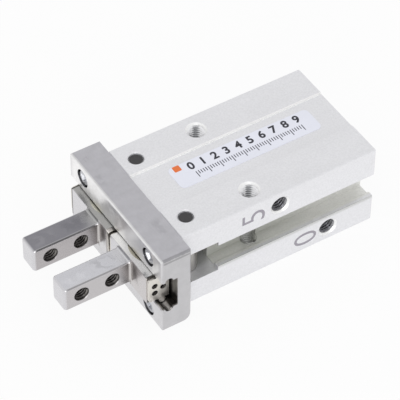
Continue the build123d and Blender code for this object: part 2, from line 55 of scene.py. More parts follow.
Triple = tuple[float, float, float]
Socket = bpy.types.NodeSocket
Tree = bpy.types.NodeTree
Piece = bpy.types.Object

# Share of the noise below which there is no mark.
NOISE_LOW = 0.3

# Far away on an axis, where a tint has no edge.
FAR = 99.0

# Height of a figure as a share of its font's size, and a bar's corner as a share of its width.
FIGURE_SHARE = 0.7
BAR_CORNER = 0.1

# Places that the finishes and the modelled pieces share.
MOUNT_X, MOUNT_Y = -5.7, 8.1
PORT_PLACES = ((-9.6, 13.55), (-19.5, 2.85))
SCREW_Y = 10.3
SCREW_Z = (2.35, 14.05)
JAW_X = (25.3, 19.6)


class Side(Enum):
    """Side of the gripper, by the sign of Y. The air ports are on the left."""

    LEFT = 1
    RIGHT = -1

    @property
    def word(self) -> str:
        """Ending of the names of the pieces on this side."""
        return self.name.lower()


class Axis(Enum):
    """Direction that a turned or threaded piece points to, as a turn of the upright piece."""

    UP = (0.0, 0.0, 0.0)
    FRONT = (0.0, math.pi / 2, 0.0)
    LEFT = (-math.pi / 2, 0.0, 0.0)


# ---- Materials ----


def linear(code: str) -> tuple[float, float, float, float]:
    """Turns six hexadecimal digits of sRGB into a shader's linear red, green, blue and alpha."""
    parts = [int(code[i : i + 2], 16) / 255 for i in (0, 2, 4)]
    return (*[c / 12.92 if c <= 0.04045 else ((c + 0.055) / 1.055) ** 2.4 for c in parts], 1.0)


def add_node(
    tree: Tree, kind: str, settings: dict | None = None, links: dict | None = None
) -> bpy.types.Node:
    """Adds one shader node with its settings and its links.

    Args:
        tree: Node tree that gets the node.
        kind: Node type, without the ShaderNode at its start.
        settings: Values by attribute name, or by input name or number.
        links: Sockets to take from, by input name or number.

    Returns:
        The new node.
    """
    node = tree.nodes.new("ShaderNode" + kind)
    for key, value in (settings or {}).items():
        if isinstance(key, str) and hasattr(node, key):
            setattr(node, key, value)
        else:
            node.inputs[key].default_value = value
    for key, socket in (links or {}).items():
        tree.links.new(socket, node.inputs[key])
    return node


def compute(tree: Tree, kind: str, operation: str, *terms: Socket | float | list[float]) -> Socket:
    """Adds one node of arithmetic.

    Args:
        tree: Node tree that gets the node.
        kind: Math for numbers, VectorMath for vectors.
        operation: What it does with its terms.
        terms: Constants or sockets, in the order of the inputs.

    Returns:
        The socket of the result.
    """
    values = {i: term for i, term in enumerate(terms) if not isinstance(term, Socket)}
    sockets = {i: term for i, term in enumerate(terms) if isinstance(term, Socket)}
    return add_node(tree, kind, {"operation": operation, **values}, sockets).outputs[0]


@dataclass(frozen=True)
class Grain:
    """Fine marks all over a surface.

    Attributes:
        size: Real size of one mark along each axis, in mm.
        depth: Height of the marks, in mm.
        rough: How far they change the roughness, up and down.
        tone: How far they darken the colour.
        detail: Finer octaves in the marks.
    """

    size: Triple
    depth: float = 0.0
    rough: float = 0.0
    tone: float = 0.0
    detail: float = 2.0


@dataclass(frozen=True)
class Patch:
    """Part of a piece with a tint of its own, such as a film of oil or a face left rougher.

    Attributes:
        low: Lowest corner of the part, in mm.
        high: Highest corner of the part, in mm.
        colour: Colour there.
        soft: Width over which it fades along each axis, in mm.
        amount: Share of that colour.
        ragged: How far its edge wanders, in mm.
    """

    low: Triple
    high: Triple
    colour: str
    soft: Triple = (0.1, 0.1, 0.1)
    amount: float = 1.0
    ragged: float = 0.0


def box(middle: Triple, reach: Triple) -> tuple[Triple, Triple]:
    """Gives the lowest and highest corner of a box from its centre and half of its lengths."""
    low = tuple(a - b for a, b in zip(middle, reach))
    return low, tuple(a + b for a, b in zip(middle, reach))


@dataclass(frozen=True)
class Finish:
    """What a surface is made of and how it was finished.

    Attributes:
        name: Name of the material.
        colour: Main colour.
        metallic: 1 for bare metal, 0 for rubber, resin and paint.
        roughness: Mean roughness.
        grains: Patterns of fine marks, the coarsest first.
        patches: Parts with their own tint.
        ior: Index of refraction of what isn't metal.
    """

    name: str
    colour: str
    metallic: float
    roughness: float
    grains: tuple[Grain, ...] = ()
    patches: tuple[Patch, ...] = ()
    ior: float = 1.5

    def material(self) -> bpy.types.Material:
        """Builds the material, or gives the one already built.

        Returns:
            The material of this finish.
        """
        known = bpy.data.materials.get(self.name)
        if known is not None and known.get("made_here"):
            return known
        made = bpy.data.materials.new(self.name)
        made["made_here"] = True
        made.use_nodes = True
        tree = made.node_tree
        tree.nodes.clear()
        place = add_node(tree, "TexCoord").outputs["Object"]
        colour = add_node(tree, "RGB").outputs[0]
        colour.default_value = linear(self.colour)
        for patch in self.patches:
            colour = self._tint(tree, place, patch, colour)
        colour, rough, normal = self._marks(tree, place, colour)
        settings = {"Metallic": self.metallic, "IOR": self.ior}
        links = {"Base Color": colour, "Roughness": rough}
        if normal is not None:
            links["Normal"] = normal
        shader = add_node(tree, "BsdfPrincipled", settings, links)
        add_node(tree, "OutputMaterial", {}, {"Surface": shader.outputs[0]})
        return made

    def _marks(
        self, tree: Tree, place: Socket, colour: Socket
    ) -> tuple[Socket, Socket, Socket | None]:
        """Draws the fine marks.

        Args:
            tree: Node tree of the material.
            place: Object coordinates.
            colour: Colour before the marks.

        Returns:
            The sockets of colour, roughness and normal.
        """
        rough = None
        normal = None
        for grain in self.grains:
            scale = [1 / (MM * size) for size in grain.size]
            spot = add_node(
                tree, "Mapping", {"vector_type": "POINT", "Scale": scale}, {"Vector": place}
            ).outputs[0]
            noise = add_node(
                tree, "TexNoise", {"Scale": 1.0, "Detail": grain.detail}, {"Vector": spot}
            ).outputs["Fac"]
            span = {"From Min": NOISE_LOW, "From Max": 1 - NOISE_LOW}
            wave = add_node(tree, "MapRange", span, {"Value": noise}).outputs[0]
            if grain.depth:
                height = {"Strength": 1.0, "Distance": MM * grain.depth}
                below = {} if normal is None else {"Normal": normal}
                normal = add_node(tree, "Bump", height, {"Height": wave, **below}).outputs[0]
            if grain.tone:
                span = {"To Min": 1 - grain.tone, "To Max": 1.0}
                shade = add_node(tree, "MapRange", span, {"Value": wave}).outputs[0]
                mix = {"data_type": "RGBA", "blend_type": "MULTIPLY", 0: 1.0}
                colour = add_node(tree, "Mix", mix, {6: colour, 7: shade}).outputs[2]
            if rough is None or grain.rough:
                span = {"To Min": -grain.rough, "To Max": grain.rough}
                step = add_node(tree, "MapRange", span, {"Value": wave}).outputs[0]
                base = self.roughness if rough is None else rough
                rough = compute(tree, "Math", "ADD", step, base)
        return colour, rough, normal

    def _tint(self, tree: Tree, place: Socket, patch: Patch, colour: Socket) -> Socket:
        """Tints one part of the surface.

        Args:
            tree: Node tree of the material.
            place: Object coordinates.
            patch: The part and its tint.
            colour: Colour so far.

        Returns:
            The socket of the tinted colour.
        """
        middle = [MM * (a + b) / 2 for a, b in zip(patch.low, patch.high)]
        half = [MM * (b - a) / 2 for a, b in zip(patch.low, patch.high)]
        fade = [MM * width for width in patch.soft]
        if patch.ragged:
            reach = MM * patch.ragged
            waves = {"Scale": 1 / (4 * reach), "Detail": 3.0}
            noise = add_node(tree, "TexNoise", waves, {"Vector": place}).outputs["Color"]
            shift = compute(
                tree, "VectorMath", "MULTIPLY_ADD", noise, [2 * reach] * 3, [-reach] * 3
            )
            place = compute(tree, "VectorMath", "ADD", place, shift)
        away = compute(tree, "VectorMath", "SUBTRACT", place, middle)
        away = compute(tree, "VectorMath", "ABSOLUTE", away)
        away = compute(tree, "VectorMath", "SUBTRACT", away, half)
        away = compute(tree, "VectorMath", "DIVIDE", away, fade)
        x, y, z = add_node(tree, "SeparateXYZ", {}, {0: away}).outputs
        most = compute(tree, "Math", "MAXIMUM", x, y)
        most = compute(tree, "Math", "MAXIMUM", most, z)
        edge = {"From Min": -0.5, "From Max": 0.5, "To Min": patch.amount, "To Max": 0.0}
        mask = add_node(
            tree, "MapRange", {"interpolation_type": "SMOOTHSTEP", **edge}, {"Value": most}
        ).outputs[0]
        mix = {"data_type": "RGBA", 7: linear(patch.colour)}
        return add_node(tree, "Mix", mix, {0: mask, 6: colour}).outputs[2]


# Clear anodised aluminium on an extruded and blasted profile: pale silver, satin, with a fine
# even grain. The real grain is about 0.05 mm, too fine to show, so it is drawn at 0.3 mm.
ANODISED = Finish(
    "clear_anodised_aluminium", "EEEEF1", 0.6, 0.42,
    (
        Grain((9.0, 5.0, 5.0), rough=0.03, tone=0.03),
        Grain((0.3, 0.3, 0.3), depth=0.007, rough=0.05, tone=0.09, detail=3.0),
    ),
    (
        # Painted highlight: a bright line along the far step of the label's recess.
        Patch((-FAR, -4.85, 16.1), (9.3, -4.45, 16.5), "FFFFFF", (0.1, 0.1, 0.02)),
        # Countersunk mouths of the mounting holes, cut bright.
        *[
            Patch(*box((MOUNT_X, y, 16.09), (2.1, 2.1, 0.29)), "FFFFFF", (0.2, 0.2, 0.03))
            for y in (-MOUNT_Y, MOUNT_Y)
        ],
        # Painted shade in the side channels, a little warmer and darker, and darker still towards
        # the guide and the floor; a painted blend of shade along the edge of the near lower lip.
        Patch((-FAR, -10.9, 4.8), (2.3, 10.9, 11.5), "EDEDEA", (0.1, 0.4, 0.3)),
        Patch((-13.0, -8.6, 4.9), (9.3, 8.6, 11.5), "C6C7C1", (22.0, 2.6, 0.2)),
        Patch((-FAR, 11.4, 5.3), (8.8, 11.6, 5.75), "C6C7C4", (0.4, 0.1, 0.9), 0.9),
        # Countersunk mouths of the air ports, cut bright.
        *[
            Patch(*box((x, 11.135, z), (1.8, 0.335, 1.85)), "FFFFFF", (0.2, 0.03, 0.2))
            for x, z in PORT_PLACES
        ],
    ),
)

# Martensitic stainless steel, hardened and ground: a soft sheen with fine grinding marks along Y.
GROUND_STEEL = Finish(
    "ground_stainless_steel", "DEDDDF", 1.0, 0.36,
    (
        Grain((2.0, 1.2, 2.0), rough=0.06, tone=0.1, detail=7.0),
        Grain((0.3, 0.7, 0.3), depth=0.002, rough=0.04, tone=0.05),
    ),
    (
        # Painted shade on the upper face and the near side, darker as the light falls on them.
        Patch((9.0, -14.3, 16.3), (14.5, 14.3, 16.5), "C6C5CA", (0.15, 0.3, 0.1)),
        Patch((9.0, 14.4, -1.0), (14.7, 14.6, 16.2), "CFCED0", (0.3, 0.1, 0.2)),
        # Painted highlight along the upper front edge and on two parts of the front face.
        Patch((14.55, -14.2, 16.08), (15.0, 14.3, 16.34), "FAFAFA", (0.1, 0.5, 0.08)),
        Patch((14.8, -14.0, 10.5), (15.0, 3.0, 16.2), "FFFEFE", (0.1, 2.0, 0.6)),
        Patch((14.8, 11.6, 9.0), (15.0, 13.6, 16.0), "FFFEFE", (0.1, 1.2, 2.0)),
        # Painted shade along the near upper edge, and small smudges on the upper face.
        Patch((9.6, 14.3, 15.6), (14.5, 14.6, 16.0), "6E6E70", (0.4, 0.1, 0.15), 0.45, 0.1),
        Patch((9.4, 14.0, 16.15), (14.5, 14.6, 16.5), "A5A4A8", (0.3, 0.2, 0.1), 0.9, 0.08),
        Patch((10.5, 6.0, 16.3), (11.7, 9.2, 16.5), "A4A3A8", (0.5, 1.0, 0.1), 0.3, 0.4),
        Patch((13.2, -7.5, 16.3), (14.2, -5.0, 16.5), "A4A3A8", (0.5, 1.0, 0.1), 0.3, 0.4),
        # Painted shade in the slot and raceways, darker still in the lower near end.
        Patch((9.0, -14.3, 4.6), (14.6, 14.3, 11.8), "868482", (0.3, 0.4, 0.1)),
        Patch((9.5, 9.0, 4.4), (14.4, 14.2, 6.7), "4A4745", (0.2, 0.2, 0.5), 0.9, 0.1),
        # Painted shade on the walls of the screws' counterbores.
        *[
            Patch(*box((13.87, y, z), (0.97, 1.75, 1.75)), "77777A", (0.06, 0.1, 0.1))
            for y in (-SCREW_Y, SCREW_Y)
            for z in SCREW_Z
        ],
    ),
)

# The same steel on the fingers, finely ground and brighter.
FINGER_STEEL = Finish(
    "fine_ground_stainless_steel", "DCDBDE", 1.0, 0.30,
    (
        Grain((4.0, 3.0, 3.0), rough=0.04, tone=0.05, detail=3.0),
        Grain((0.9, 0.5, 0.5), depth=0.001, rough=0.04, tone=0.04, detail=4.0),
    ),
)

# Austenitic stainless sheet, stamped and tumbled: warm, bright and slightly uneven.
STAMPED_STEEL = Finish(
    "stamped_stainless_sheet", "EAE6DF", 1.0, 0.34,
    (Grain((0.9, 0.9, 0.9), depth=0.003, rough=0.05, tone=0.06, detail=3.0),),
)

# Steel screw with bright zinc plating: nearly white, with a cloudy sheen.
ZINC_PLATE = Finish(
    "bright_zinc_plate", "C2C3C7", 1.0, 0.3,
    (Grain((0.5, 0.5, 0.5), depth=0.003, rough=0.06, tone=0.06),),
)

# Nitrided alloy steel of the lever shafts: dark grey, dull, with fine turning marks and a
# painted highlight on the chamfer at the upper end.
NITRIDED = Finish(
    "nitrided_steel", "545354", 0.9, 0.45,
    (Grain((0.4, 0.4, 0.25), depth=0.005, rough=0.06, tone=0.18, detail=3.0),),
    (Patch((-FAR, -FAR, 15.85), (FAR, FAR, 16.06), "C4C4C6", (0.1, 0.1, 0.05)),),
)

# Case-hardened steel of the levers: light grey, ground on both faces.
LEVER_STEEL = Finish(
    "case_hardened_steel", "B4B2AE", 1.0, 0.35,
    (Grain((0.8, 0.3, 0.8), depth=0.003, rough=0.05, tone=0.12, detail=3.0),),
)

# Through-hardened bearing steel of the balls: dark, smooth and mirror like.
BEARING_STEEL = Finish(
    "polished_bearing_steel", "77787B", 1.0, 0.10,
    (Grain((0.5, 0.5, 0.5), rough=0.03, tone=0.04),),
)

# Turned stainless steel of the piston and rod: fine rings across the axis, 0.08 mm apart.
TURNED_STEEL = Finish(
    "turned_stainless_steel", "BFC0C2", 1.0, 0.25,
    (Grain((0.2, 6.0, 6.0), depth=0.004, rough=0.05, tone=0.08),),
)

# Nitrile rubber of the seals: black with a grey bloom, moulded, slightly uneven.
NITRILE = Finish(
    "nitrile_rubber", "1C1C1E", 0.0, 0.55,
    (Grain((0.4, 0.4, 0.4), depth=0.006, rough=0.08, tone=0.2),),
    ior=1.52,
)

# Rubber filled with ferrite powder: dark brown grey, with a fine powdery surface.
MAGNET_RUBBER = Finish(
    "ferrite_filled_rubber", "3A3330", 0.0, 0.7,
    (Grain((0.3, 0.3, 0.3), depth=0.01, rough=0.08, tone=0.25, detail=4.0),),
    ior=1.6,
)

# Turned aluminium of the seal holder: bright rings from the lathe.
TURNED_ALUMINIUM = Finish(
    "turned_aluminium", "CFD1D4", 1.0, 0.3,
    (Grain((0.2, 5.0, 5.0), depth=0.005, rough=0.05, tone=0.1),),
)

# Glass-filled nylon of the rear cap: black, moulded, with pale fibre flecks.
MOULDED_RESIN = Finish(
    "glass_filled_nylon", "2A2B2D", 0.0, 0.5,
    (
        Grain((1.5, 1.5, 1.5), rough=0.05, tone=0.15),
        Grain((0.25, 0.25, 0.25), depth=0.01, rough=0.08, tone=0.2, detail=3.0),
    ),
    ior=1.53,
)

# Phosphated spring steel of the retaining ring: nearly black, dull, with a crystalline grain.
PHOSPHATED = Finish(
    "phosphated_spring_steel", "3F4042", 0.7, 0.5,
    (Grain((0.25, 0.25, 0.25), depth=0.008, rough=0.08, tone=0.25, detail=4.0),),
)

# Polyester label film with a lavender print ground: smooth, slightly glossy, with slow ripples.
LABEL_FILM = Finish(
    "printed_polyester_film", "EDEFFA", 0.0, 0.38,
    (
        Grain((6.0, 3.0, 3.0), depth=0.01, rough=0.04, tone=0.03),
        Grain((0.3, 0.3, 0.3), depth=0.001, rough=0.03, tone=0.02),
    ),
    ior=1.57,
)

# Black print ink on the film: slightly grey where the film shows through.
PRINT_INK = Finish(
    "black_print_ink", "2B2B36", 0.0, 0.45,
    (Grain((0.25, 0.25, 0.25), rough=0.05, tone=0.25, detail=3.0),),
)

# Orange print ink on the film.
ORANGE_INK = Finish(
    "orange_print_ink", "EE7836", 0.0, 0.42,
    (Grain((0.3, 0.3, 0.3), rough=0.04, tone=0.08, detail=3.0),),
)

# Laser mark in the anodising: greyed oxide, dull, with the hatch lines of the beam.
LASER_MARK = Finish(
    "laser_marked_oxide", "A39FA8", 0.2, 0.6,
    (Grain((0.35, 2.0, 0.12), rough=0.05, tone=0.15),),
)

# Thread cut through the anodised hole: smooth bright aluminium, with painted shade on one side
# of the upper part and all round the lower part.
CUT_THREAD = Finish(
    "cut_aluminium_thread", "FAFAFC", 1.0, 0.3,
    (Grain((0.4, 0.4, 0.08), depth=0.002, rough=0.05, tone=0.08),),
    (
        *[
            Patch(*box((MOUNT_X - 0.75, y, 13.5), (0.55, 0.5, 2.5)), "A9AAAD", (0.5, 0.5, 0.8))
            for y in (-MOUNT_Y - 1.4, MOUNT_Y - 1.4)
        ],
        Patch((-FAR, -FAR, 0.0), (FAR, FAR, 5.2), "B9BAB7"),
    ),
)

# Thread cut in the air ports, darkened all over with painted shade, less on one side.
SHADED_PORT_THREAD = Finish(
    "sealed_aluminium_thread", "6A6A6F", 1.0, 0.3,
    (Grain((0.3, 0.08, 0.3), depth=0.002, rough=0.05, tone=0.12),),
    tuple(
        Patch(*box((x - 1.6, 9.3, z - 0.95), (0.4, 2.3, 1.1)), "A2A2A5", (0.5, 0.5, 0.6))
        for x, z in PORT_PLACES
    ),
)

# Thread tapped in the steel fingers: dark with painted shade, less in the right finger and on
# one side of each hole.
STEEL_THREAD = Finish(
    "tapped_steel_thread", "474544", 1.0, 0.3,
    (Grain((0.4, 0.08, 0.4), depth=0.002, rough=0.05, tone=0.15),),
    (
        Patch((-FAR, -FAR, -FAR), (FAR, 0.0, FAR), "605D5B"),
        *[
            Patch(*box((x - 1.25, 0.0, 7.5), (0.35, FAR, 0.9)), "84817E", (0.4, 0.1, 0.5))
            for x in JAW_X
        ],
    ),
)


# ---- Modelling ----


def clear_selection() -> None:
    """Leaves nothing selected and no object active."""
    bpy.ops.object.select_all(action="DESELECT")
    bpy.context.view_layer.objects.active = None


def pick(piece: Piece) -> None:
    """Selects one object alone and makes it active.

    Args:
        piece: Object to select.
    """
    clear_selection()
    piece.select_set(True)
    bpy.context.view_layer.objects.active = piece


@contextmanager
def editing(piece: Piece) -> Iterator[None]:
    """Opens an object in edit mode with nothing selected, and closes it after.

    Args:
        piece: Mesh object to edit.
    """
    pick(piece)
    bpy.ops.object.mode_set(mode="EDIT")
    bpy.ops.mesh.select_all(action="DESELECT")
    try:
        yield
    finally:
        bpy.ops.object.mode_set(mode="OBJECT")


def choose(piece: Piece, kind: str, wanted: Callable[[Vector, Vector], bool]) -> None:
    """Selects only the faces or the edges that pass a test, in edit mode.

    Args:
        piece: Mesh object in edit mode.
        kind: FACE or EDGE.
        wanted: Test of a face's centre, in mm, and its normal, or of an edge's ends, in mm.
    """
    bpy.ops.mesh.select_all(action="DESELECT")
    bpy.ops.mesh.select_mode(type=kind)
    mesh = bmesh.from_edit_mesh(piece.data)
    if kind == "FACE":
        for face in mesh.faces:
            face.select_set(wanted(face.calc_center_median() / MM, face.normal))
    else:
        for edge in mesh.edges:
            edge.select_set(wanted(*[corner.co / MM for corner in edge.verts]))
    bmesh.update_edit_mesh(piece.data)


def apply_modifier(piece: Piece, kind: str, settings: dict) -> None:
    """Adds a modifier with its settings and applies it.

    Args:
        piece: Mesh object.
        kind: Type of modifier.
        settings: Values by attribute name.
    """
    pick(piece)
    added = piece.modifiers.new(kind.lower(), kind)
    for key, value in settings.items():
        setattr(added, key, value)
    bpy.ops.object.modifier_apply(modifier=added.name)


def close_up(piece: Piece) -> None:
    """Merges doubles, fills small holes and turns every face outwards.

    Args:
        piece: Mesh object.
    """
    with editing(piece):
        bpy.ops.mesh.select_all(action="SELECT")
        bpy.ops.mesh.remove_doubles(threshold=MM * 0.0005)
        bpy.ops.mesh.fill_holes(sides=0)
        bpy.ops.mesh.normals_make_consistent(inside=False)


def fix_place() -> None:
    """Puts the place, turn and size of the selected object in its mesh."""
    bpy.ops.object.transform_apply(location=True, rotation=True, scale=True)


def move_to(piece: Piece, place: Triple, axis: Axis = Axis.UP, spin: float = 0.0) -> None:
    """Turns and moves a piece, and puts the result in its mesh.

    Args:
        piece: Object modelled upright at the origin.
        place: Where its origin goes, in mm.
        axis: Direction that its Z axis gets.
        spin: Turn about its own axis first, in degrees.
    """
    pick(piece)
    turn = Matrix.Rotation(math.radians(spin), 4, "Z")
    for angle, name in zip(axis.value, "XYZ"):
        turn = Matrix.Rotation(angle, 4, name) @ turn
    piece.matrix_world = Matrix.Translation(Vector(place) * MM) @ turn
    fix_place()


def copy_of(piece: Piece, name: str) -> Piece:
    """Copies an object with a mesh of its own.

    Args:
        piece: Object to copy.
        name: Name of the copy.

    Returns:
        The copy.
    """
    twin = piece.copy()
    twin.data = piece.data.copy()
    twin.name = twin.data.name = name
    bpy.context.scene.collection.objects.link(twin)
    return twin


def joined(pieces: list[Piece], name: str) -> Piece:
    """Joins objects into the first one.

    Args:
        pieces: Objects to join.
        name: Name of the result.

    Returns:
        The joined object.
    """
    clear_selection()
    for piece in pieces:
        piece.select_set(True)
    bpy.context.view_layer.objects.active = pieces[0]
    if len(pieces) > 1:
        bpy.ops.object.join()
    pieces[0].name = pieces[0].data.name = name
    return pieces[0]


def smooth(piece: Piece, angle: float) -> None:
    """Shades a piece smooth where faces meet at less than an angle in degrees."""
    pick(piece)
    bpy.ops.object.shade_smooth_by_angle(angle=math.radians(angle))


def dress(node: str, finish: Finish) -> None:
    """Gives a CAD node its finish.

    Args:
        node: Name of the node.
        finish: What it is made of.
    """
    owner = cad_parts[node]
    owner.material_slots[0].material = finish.material()
    LOG.info("node %s: %s", node, finish.name)


def settle(piece: Piece, finish: Finish, body: str) -> None:
    """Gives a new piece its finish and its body.

    Args:
        piece: Finished mesh object.
        finish: What it is made of.
        body: CAD body that it rides on.
    """
    piece.data.materials.clear()
    piece.data.materials.append(finish.material())
    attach(piece, body)
    faces = len(piece.data.polygons)
    LOG.info("piece %s: %s on %s, %d faces", piece.name, finish.name, body, faces)


@dataclass(frozen=True)
class Thread:
    """Ridges of a cut metric thread, which stand in from the wall of a plain hole.

    Attributes:
        diameter: Major diameter, the hole's own.
        pitch: From one ridge to the next.
        length: Length along the hole.
        steps: Flats in one turn.
        sunk: How far a ridge's foot is sunk in the wall.
        rise: Height of a ridge, as a share of the pitch.
        foot: Half width of its foot, as a share of the pitch.
        blunt: What is cut off its corners, as a share of the pitch.
    """

    diameter: float
    pitch: float
    length: float
    steps: int = 24
    sunk: float = 0.04
    rise: float = 0.54
    foot: float = 0.46
    blunt: float = 0.05

    def model(self, name: str) -> Piece:
        """Models the ridges upright, with their lower end at the origin.

        Args:
            name: Name of the piece.

        Returns:
            The ridges as one mesh.
        """
        wall = self.diameter / 2 + self.sunk
        crest = self.diameter / 2 - self.rise * self.pitch
        half = self.foot * self.pitch
        clear_selection()
        bpy.ops.mesh.primitive_circle_add(
            vertices=3, radius=MM * self.pitch / 2, rotation=(math.pi / 2, 0, 0)
        )
        ridge = bpy.context.object
        fix_place()
        with editing(ridge):
            mesh = bmesh.from_edit_mesh(ridge.data)
            corners = sorted(mesh.verts, key=lambda corner: corner.co.z)
            outline = ((wall, -half), (crest, 0.0), (wall, half))
            for corner, (x, z) in zip(corners, outline):
                corner.co = Vector((x, 0.0, z)) * MM
            bmesh.update_edit_mesh(ridge.data)
            bpy.ops.mesh.select_all(action="SELECT")
            bpy.ops.mesh.bevel(offset=MM * self.blunt * self.pitch, affect="VERTICES")
        turns = max(1, round(self.length / self.pitch))
        screw = {
            "axis": "Z", "screw_offset": MM * self.pitch, "iterations": turns,
            "steps": self.steps, "render_steps": self.steps, "use_merge_vertices": False,
        }
        apply_modifier(ridge, "SCREW", screw)
        close_up(ridge)
        smooth(ridge, 40)
        ridge.name = ridge.data.name = name
        return ridge


def numeral(text: str, height: float, thick: float, weight: float) -> Piece:
    """Models plain figures lying flat, reading along X, centred on the origin.

    Args:
        text: Figures to draw.
        height: Height of a figure, in mm.
        thick: Thickness of the layer, in mm.
        weight: How far the strokes are widened, in mm.

    Returns:
        The figures as one closed mesh.
    """
    clear_selection()
    bpy.ops.object.text_add()
    words = bpy.context.object
    words.data.body = text
    words.data.size = MM * height / FIGURE_SHARE
    words.data.align_x = "CENTER"
    words.data.align_y = "CENTER"
    words.data.offset = MM * weight / 2
    words.data.extrude = MM * thick / 2
    words.data.resolution_u = 6
    bpy.ops.object.convert(target="MESH")
    shape = bpy.context.object
    close_up(shape)
    return shape


def raised_bar(low: tuple[float, float], high: tuple[float, float], thick: float) -> Piece:
    """Models a thin printed bar with slightly softened corners, on the XY plane.

    Args:
        low: Lowest corner, in mm.
        high: Highest corner, in mm.
        thick: Thickness of the layer, in mm.

    Returns:
        The bar as a closed mesh.
    """
    clear_selection()
    middle = [MM * (a + b) / 2 for a, b in zip(low, high)]
    bpy.ops.mesh.primitive_plane_add(size=1, location=(*middle, 0))
    bar = bpy.context.object
    bar.scale = (MM * (high[0] - low[0]), MM * (high[1] - low[1]), 1)
    fix_place()
    with editing(bar):
        bpy.ops.mesh.select_all(action="SELECT")
        narrow = min(high[0] - low[0], high[1] - low[1])
        bpy.ops.mesh.bevel(offset=MM * BAR_CORNER * narrow, affect="VERTICES", segments=2)
        bpy.ops.mesh.select_all(action="SELECT")
        bpy.ops.mesh.extrude_region_move(TRANSFORM_OT_translate={"value": (0, 0, MM * thick)})
    close_up(bar)
    return bar


# ---- Sub-assemblies ----


@dataclass(frozen=True)
class BodyUnit:
    """Extruded aluminium body with its mounting holes, air ports, marks and label.

    Attributes:
        mount: Thread of both mounting holes.
        mount_start: Height of its lower end.
        port: Thread of both air ports.
        port_mouth: Depth of its outer end under the side face.
        channel_low: Bottom of the side channel, which the mounting holes cross.
        channel_high: Top of the side channel.
        side: Distance of the side face from the middle.
        mark_height: Height of a mark.
        mark_layer: Thickness of a mark.
        mark_weight: How far its strokes are widened.
        mark_places: Place of each mark along and up the side face.
    """

    mount: Thread = Thread(3.0, 0.5, 15.5)
    mount_start: float = 0.45
    port: Thread = Thread(3.0, 0.5, 3.5)
    port_mouth: float = 0.4
    channel_low: float = 5.0
    channel_high: float = 11.4
    side: float = 11.5
    mark_height: float = 4.5
    mark_layer: float = 0.02
    mark_weight: float = -0.09
    mark_places: tuple[tuple[str, float, float], ...] = (("5", -4.65, 13.6), ("0", -15.2, 2.7))

    def build(self) -> None:
        """Dresses the body and models what is cut and marked in it."""
        dress("body", ANODISED)
        dress("label", LABEL_FILM)
        for side in Side:
            self.mount_thread(side)
        y = self.side - self.port_mouth - self.port.length
        for name, (x, z) in zip(("closing", "opening"), PORT_PLACES):
            ridge = self.port.model(name + "_port_thread")
            move_to(ridge, (x, y, z), Axis.LEFT)
            settle(ridge, SHADED_PORT_THREAD, "root")
        for text, x, z in self.mark_places:
            self.side_mark(text, x, z)

    def mount_thread(self, side: Side) -> None:
        """Models the thread of one mounting hole, above and below the side channel.

        Args:
            side: Side of the hole.
        """
        whole = self.mount.model("mounting_thread_" + side.word)
        move_to(whole, (MOUNT_X, side.value * MOUNT_Y, self.mount_start))
        top = copy_of(whole, "top")
        self.cut(whole, (0, 0, self.channel_low), (0, 0, 1))
        self.cut(top, (0, 0, self.channel_high), (0, 0, -1))
        ridges = joined([whole, top], "mounting_thread_" + side.word)
        settle(ridges, CUT_THREAD, "root")

    @staticmethod
    def cut(piece: Piece, place: Triple, away: Triple) -> None:
        """Cuts off what lies on one side of a plane, and closes the cut.

        Args:
            piece: Mesh object to cut.
            place: A point of the plane, in mm.
            away: Direction of the side that goes.
        """
        with editing(piece):
            bpy.ops.mesh.select_all(action="SELECT")
            bpy.ops.mesh.bisect(
                plane_co=Vector(place) * MM, plane_no=away, use_fill=True, clear_outer=True
            )

    def side_mark(self, text: str, x: float, z: float) -> None:
        """Models one figure marked on the side face, with its top towards the guide.

        Args:
            text: Figure to draw.
            x: Place along the body.
            z: Place up the side face.
        """
        mark = numeral(text, self.mark_height, self.mark_layer, self.mark_weight)
        pick(mark)
        stand = Matrix(((0, 1, 0, 0), (0, 0, 1, 0), (1, 0, 0, 0), (0, 0, 0, 1)))
        mark.matrix_world = Matrix.Translation(Vector((x, self.side, z)) * MM) @ stand
        fix_place()
        mark.name = mark.data.name = "side_mark_" + text
        settle(mark, LASER_MARK, "root")


@dataclass(frozen=True)
class LabelPrint:
    """Generic print on the label: an orange square, a row of plain figures and a fine scale.

    Attributes:
        top: Height of the label's upper face.
        layer: Thickness of the ink.
        square: Corners of the square.
        start: X of the first figure and of the front end of the scale.
        step: From one figure to the next.
        figures: How many figures there are.
        figure_y: Middle of the row of figures.
        figure_height: Height of a figure.
        figure_weight: How far its strokes are widened.
        parts: Parts that the scale has between two figures.
        tick_half: Half of a tick's width.
        tick_start: Y of the ends of the ticks that stand in line.
        tick_ends: Y of the other end of a short and of a long tick.
    """

    top: float = 16.23
    layer: float = 0.012
    square: tuple[tuple[float, float], tuple[float, float]] = ((1.1, -2.85), (2.4, -1.55))
    start: float = -0.6
    step: float = 2.3
    figures: int = 10
    figure_y: float = -1.55
    figure_height: float = 1.6
    figure_weight: float = 0.14
    parts: int = 5
    tick_half: float = 0.07
    tick_start: float = -0.1
    tick_ends: tuple[float, float] = (0.7, 1.3)

    def build(self) -> None:
        """Models the print."""
        square = raised_bar(*self.square, self.layer)
        square.name = square.data.name = "label_orange_square"
        move_to(square, (0, 0, self.top))
        settle(square, ORANGE_INK, "root")
        marks = []
        for index in range(self.figures):
            figure = numeral(str(index), self.figure_height, self.layer, self.figure_weight)
            place = (self.start - index * self.step, self.figure_y, self.top + self.layer / 2)
            move_to(figure, place, spin=180)
            marks.append(figure)
        for index in range(self.parts * (self.figures - 1) + 1):
            x = self.start - index * self.step / self.parts
            end = self.tick_ends[index % self.parts == 0]
            low, high = (x - self.tick_half, self.tick_start), (x + self.tick_half, end)
            tick = raised_bar(low, high, self.layer)
            move_to(tick, (0, 0, self.top))
            marks.append(tick)
        ink = joined(marks, "label_scale_print")
        settle(ink, PRINT_INK, "root")


